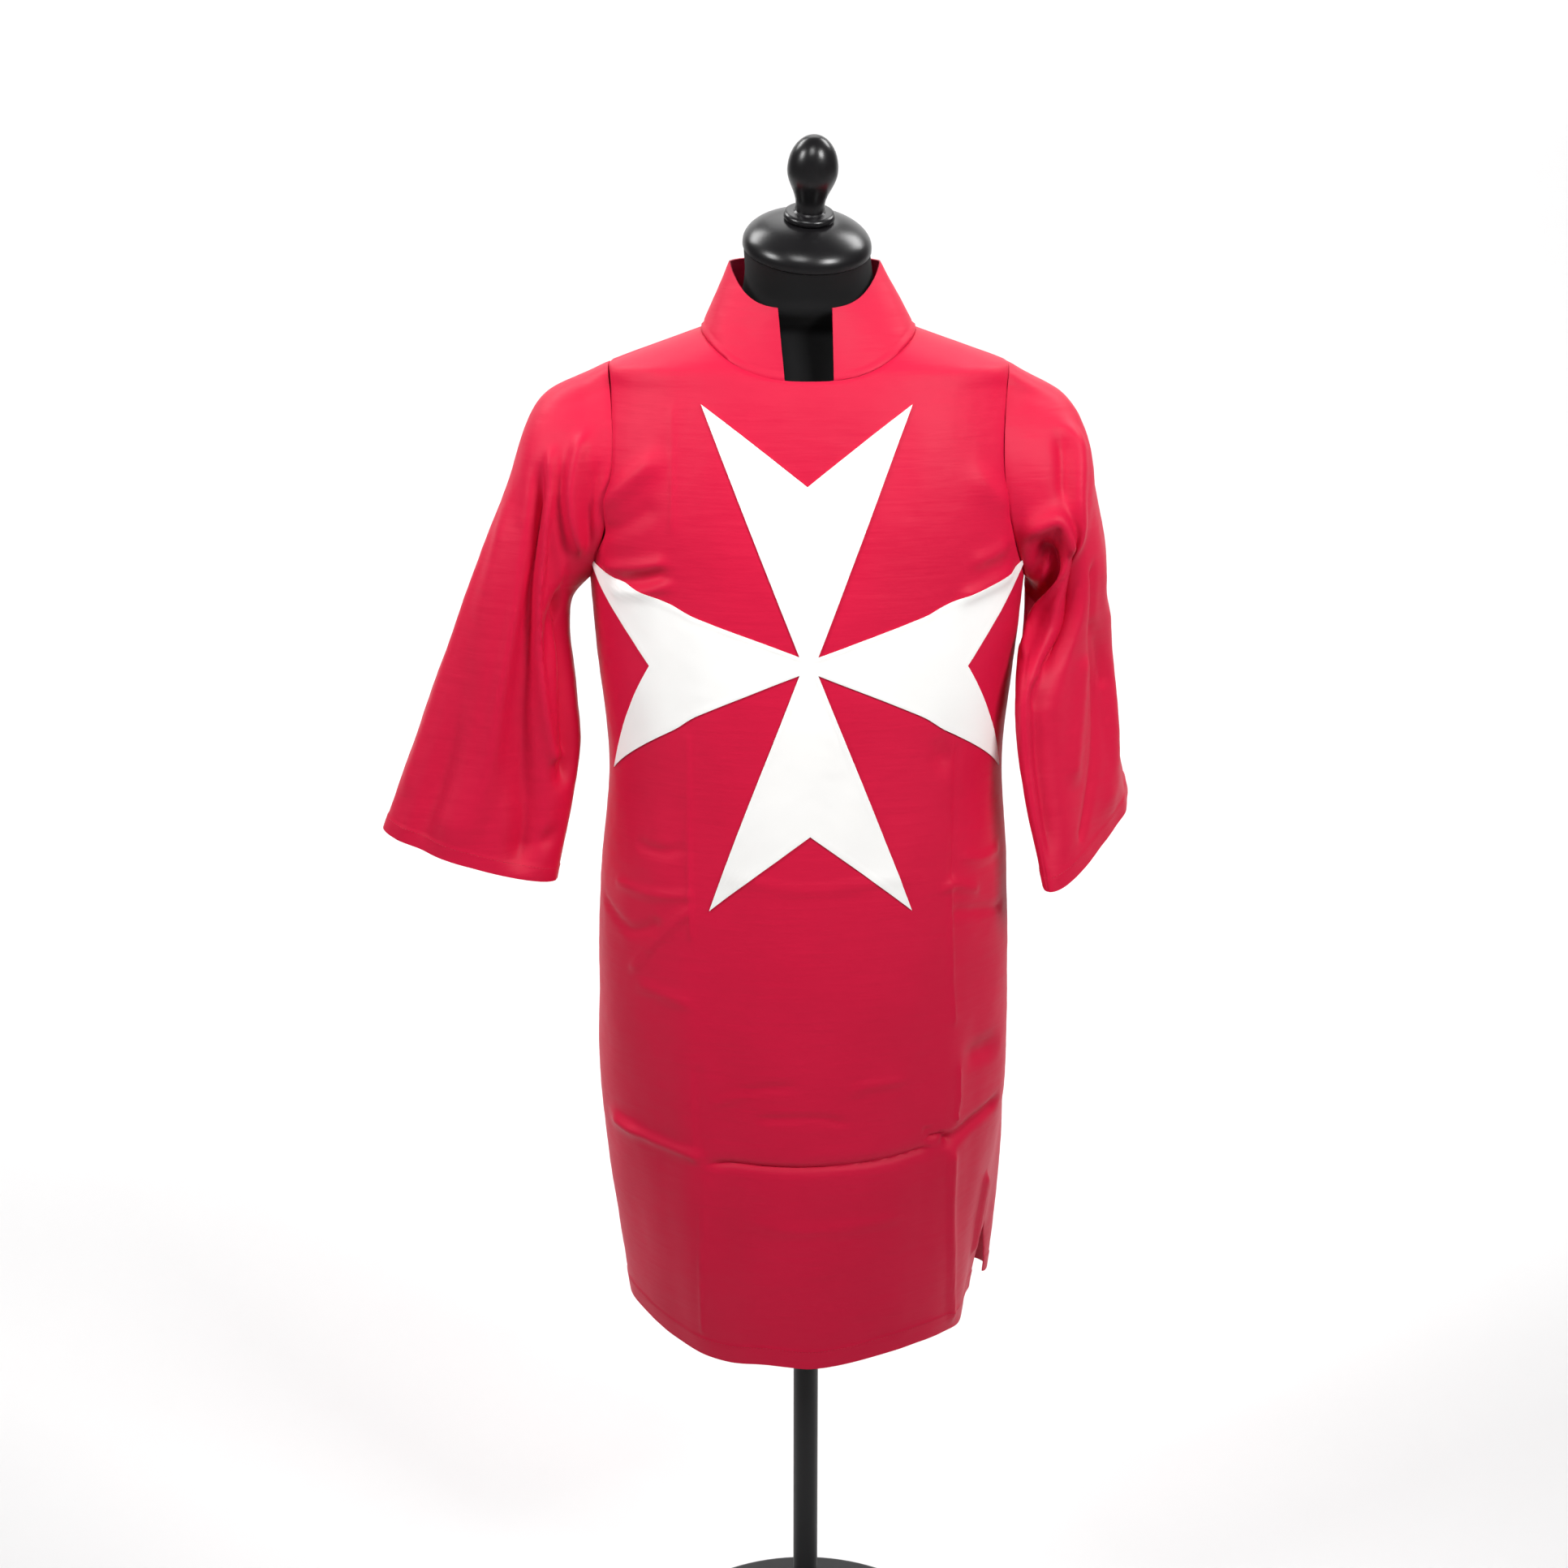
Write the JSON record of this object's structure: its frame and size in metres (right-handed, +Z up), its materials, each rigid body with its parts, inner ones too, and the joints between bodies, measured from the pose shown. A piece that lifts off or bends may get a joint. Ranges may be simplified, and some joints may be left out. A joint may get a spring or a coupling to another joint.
{
  "type": "tunic on a dress form",
  "caption": "Red knee-length tunic with an open stand collar, wide sleeves and a white fork-ended cross on the chest, on a limbless black dress form with neck cap, pole and round base.",
  "frame": {"origin": "Middle of the underside of the stand's round base, on the floor.", "axes": "+Z is up. The tunic faces -Y. +X is the wearer's left, the right of the picture."},
  "size_m": [0.7836, 0.35, 1.6855],
  "materials": {
    "red_cloth": "red twill-woven cloth with a soft sheen",
    "white_cloth": "plain white cloth",
    "black_cloth": "matt black stretch cloth",
    "black_wood": "turned wood, glossy black lacquer",
    "black_metal": "satin black paint"
  },
  "bodies": {
    "root": {"tunic_front": "red_cloth", "tunic_back": "red_cloth", "sleeve_right": "red_cloth", "sleeve_left": "red_cloth", "collar": "red_cloth", "cross": "white_cloth", "form_torso": "black_cloth", "neck_cap": "black_wood", "finial": "black_wood", "stand_pole": "black_metal", "stand_base": "black_metal"}
  },
  "joints": []
}
